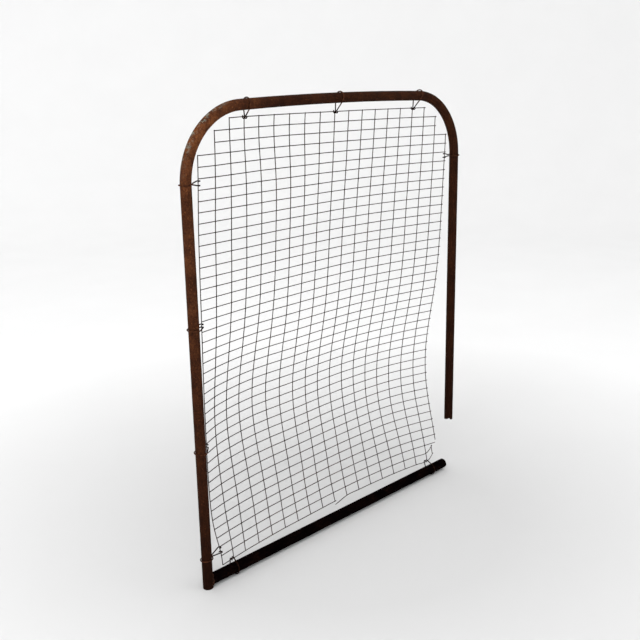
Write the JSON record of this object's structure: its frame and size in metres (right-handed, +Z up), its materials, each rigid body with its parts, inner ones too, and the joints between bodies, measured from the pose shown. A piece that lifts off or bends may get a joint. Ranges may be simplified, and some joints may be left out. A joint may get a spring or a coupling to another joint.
{
  "type": "pitch back rebounder",
  "caption": "Upright rebounder: a bent steel tube frame on a bottom rail, with a bulged welded wire mesh hung inside it on wire ties; one lower corner is broken away.",
  "frame": {"origin": "centre of the open end of the left foot, in the plane of the frame", "axes": "+X along the bottom rail from the left foot, +Y to the back, the side the mesh bulges to, +Z up"},
  "size_m": [1.0103, 0.112, 1.1821],
  "materials": {
    "frame_tube": "rusted steel tube with worn paint",
    "bottom_rail": "dark rusted steel tube",
    "weld_bead": "rusted weld metal",
    "mesh_wire": "rusted bare wire",
    "tie_wire": "rusted bare wire"
  },
  "bodies": {
    "frame": {"frame_tube": "frame_tube", "bottom_rail": "bottom_rail", "foot_weld": "weld_bead"},
    "mesh": {"column_wire_01": "mesh_wire", "column_wire_02": "mesh_wire", "column_wire_03": "mesh_wire", "column_wire_04": "mesh_wire", "column_wire_05": "mesh_wire", "column_wire_06": "mesh_wire", "column_wire_07": "mesh_wire", "column_wire_08": "mesh_wire", "column_wire_09": "mesh_wire", "column_wire_10": "mesh_wire", "column_wire_11": "mesh_wire", "column_wire_12": "mesh_wire", "column_wire_13": "mesh_wire", "column_wire_14": "mesh_wire", "column_wire_15": "mesh_wire", "column_wire_16": "mesh_wire", "column_wire_17": "mesh_wire", "column_wire_18": "mesh_wire", "column_wire_19": "mesh_wire", "row_wires_01_02": "mesh_wire", "row_wires_03_04": "mesh_wire", "row_wires_05_06": "mesh_wire", "row_wires_07_08": "mesh_wire", "row_wires_09_10": "mesh_wire", "row_wires_11_12": "mesh_wire", "row_wires_13_14": "mesh_wire", "row_wires_15_16": "mesh_wire", "row_wires_17_18": "mesh_wire", "row_wires_19_20": "mesh_wire", "row_wires_21_22": "mesh_wire", "row_wires_23_24": "mesh_wire", "row_wires_25_26": "mesh_wire", "row_wires_27_28": "mesh_wire", "row_wires_29_30": "mesh_wire", "row_wires_31_32": "mesh_wire", "row_wires_33_34": "mesh_wire", "row_wires_35_36": "mesh_wire", "row_wires_37_38": "mesh_wire", "row_wires_39_40": "mesh_wire", "row_wires_41_42": "mesh_wire", "row_wires_43_44": "mesh_wire"},
    "top_hanger_1": {"top_hanger_1": "tie_wire"},
    "top_hanger_2": {"top_hanger_2": "tie_wire"},
    "top_hanger_3": {"top_hanger_3": "tie_wire"},
    "left_forked_tie_1": {"left_forked_tie_1": "tie_wire"},
    "left_forked_tie_2": {"left_forked_tie_2": "tie_wire"},
    "left_plain_tie_1": {"left_plain_tie_1": "tie_wire"},
    "left_plain_tie_2": {"left_plain_tie_2": "tie_wire"},
    "right_forked_tie_1": {"right_forked_tie_1": "tie_wire"},
    "rail_tie_1": {"rail_tie_1": "tie_wire"},
    "rail_tie_2": {"rail_tie_2": "tie_wire"}
  },
  "joints": [
    {"name": "mesh_rebound", "type": "slide", "parent": "frame", "child": "mesh", "axis": [0, 1, 0], "range_m": [-0.0012, 0.0012], "stiffness_N_per_m": 4000},
    {"name": "top_hanger_1_swing", "type": "hinge", "parent": "frame", "child": "top_hanger_1", "pos_m": [0.18545, 0, 1.16104], "axis": [1, 0, 0], "range_deg": [-2.5, 2.5]},
    {"name": "top_hanger_2_swing", "type": "hinge", "parent": "frame", "child": "top_hanger_2", "pos_m": [0.48979, 0, 1.1655], "axis": [1, 0, 0], "range_deg": [-2.2, 2.2]},
    {"name": "top_hanger_3_swing", "type": "hinge", "parent": "frame", "child": "top_hanger_3", "pos_m": [0.79456, 0, 1.16095], "axis": [1, 0, 0], "range_deg": [-2.3, 2.3]},
    {"name": "left_forked_tie_1_swing", "type": "hinge", "parent": "frame", "child": "left_forked_tie_1", "pos_m": [0, 0, 0.9949], "axis": [0, 0, 1], "range_deg": [-2.3, 2.3]},
    {"name": "left_forked_tie_2_swing", "type": "hinge", "parent": "frame", "child": "left_forked_tie_2", "pos_m": [0, 0, 0.07811], "axis": [0, 0, 1], "range_deg": [-1.6, 1.6]},
    {"name": "left_plain_tie_1_swing", "type": "hinge", "parent": "frame", "child": "left_plain_tie_1", "pos_m": [0, 0, 0.66379], "axis": [0, 0, 1], "range_deg": [-2, 2]},
    {"name": "left_plain_tie_2_swing", "type": "hinge", "parent": "frame", "child": "left_plain_tie_2", "pos_m": [0, 0, 0.36042], "axis": [0, 0, 1], "range_deg": [-1.8, 1.8]},
    {"name": "right_forked_tie_1_swing", "type": "hinge", "parent": "frame", "child": "right_forked_tie_1", "pos_m": [0.977, 0, 0.98693], "axis": [0, 0, 1], "range_deg": [-2.3, 2.3]},
    {"name": "rail_tie_1_swing", "type": "hinge", "parent": "frame", "child": "rail_tie_1", "pos_m": [0.08668, 0, 0.0185], "axis": [1, 0, 0], "range_deg": [-3.1, 3.1]},
    {"name": "rail_tie_2_swing", "type": "hinge", "parent": "frame", "child": "rail_tie_2", "pos_m": [0.88898, 0, 0.0185], "axis": [1, 0, 0], "range_deg": [-2.2, 2.2]}
  ],
  "couplings": [
    {"joint": "top_hanger_1_swing", "follows": "mesh_rebound", "rad_per_m": 31.979},
    {"joint": "top_hanger_2_swing", "follows": "mesh_rebound", "rad_per_m": 26.91},
    {"joint": "top_hanger_3_swing", "follows": "mesh_rebound", "rad_per_m": 29.154},
    {"joint": "left_forked_tie_1_swing", "follows": "mesh_rebound", "rad_per_m": 29.405},
    {"joint": "left_forked_tie_2_swing", "follows": "mesh_rebound", "rad_per_m": 18.473},
    {"joint": "left_plain_tie_1_swing", "follows": "mesh_rebound", "rad_per_m": 24.862},
    {"joint": "left_plain_tie_2_swing", "follows": "mesh_rebound", "rad_per_m": 21.244},
    {"joint": "right_forked_tie_1_swing", "follows": "mesh_rebound", "rad_per_m": -29.215},
    {"joint": "rail_tie_1_swing", "follows": "mesh_rebound", "rad_per_m": -41.409},
    {"joint": "rail_tie_2_swing", "follows": "mesh_rebound", "rad_per_m": -27.393}
  ]
}
